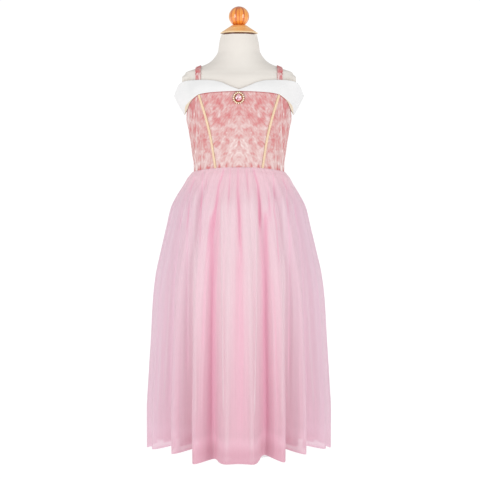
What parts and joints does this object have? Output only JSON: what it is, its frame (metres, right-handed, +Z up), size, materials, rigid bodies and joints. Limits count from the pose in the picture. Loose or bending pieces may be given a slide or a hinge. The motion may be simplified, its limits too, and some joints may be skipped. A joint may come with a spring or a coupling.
{
  "type": "princess costume dress on a child's dress form",
  "caption": "Child's princess dress with a velvet bodice, white off-the-shoulder collar and long gathered tulle skirt, on a limbless dress form with a round base.",
  "frame": {"origin": "middle of the underside of the form's round base, on the floor", "axes": "+Z up, -Y towards the front of the dress, +X towards the wearer's left"},
  "size_m": [0.4259, 0.3953, 1.0223],
  "materials": {
    "velvet": "crushed velvet, dusty pink",
    "gold_trim": "woven metallic trim",
    "collar_satin": "matt white satin",
    "tulle": "sheer pink tulle",
    "lining": "dull pink underskirt",
    "setting": "polished gold colour",
    "crystal": "faceted pink crystal",
    "jersey": "cream knitted cover",
    "pale_wood": "pale satin varnish",
    "varnished_wood": "gloss varnish",
    "stand_metal": "brushed"
  },
  "bodies": {
    "root": {"bodice_front_centre": "velvet", "bodice_front_left": "velvet", "bodice_front_right": "velvet", "bodice_back": "velvet", "trim_left": "gold_trim", "trim_right": "gold_trim", "strap_left": "velvet", "strap_right": "velvet", "collar_front": "collar_satin", "collar_back": "collar_satin", "skirt_front": "tulle", "skirt_back": "tulle", "underskirt_front": "lining", "underskirt_back": "lining", "brooch_setting": "setting", "brooch_stone": "crystal", "form_body": "jersey", "form_cap": "pale_wood", "form_knob": "varnished_wood", "form_pole": "stand_metal", "form_base": "stand_metal"}
  },
  "joints": []
}
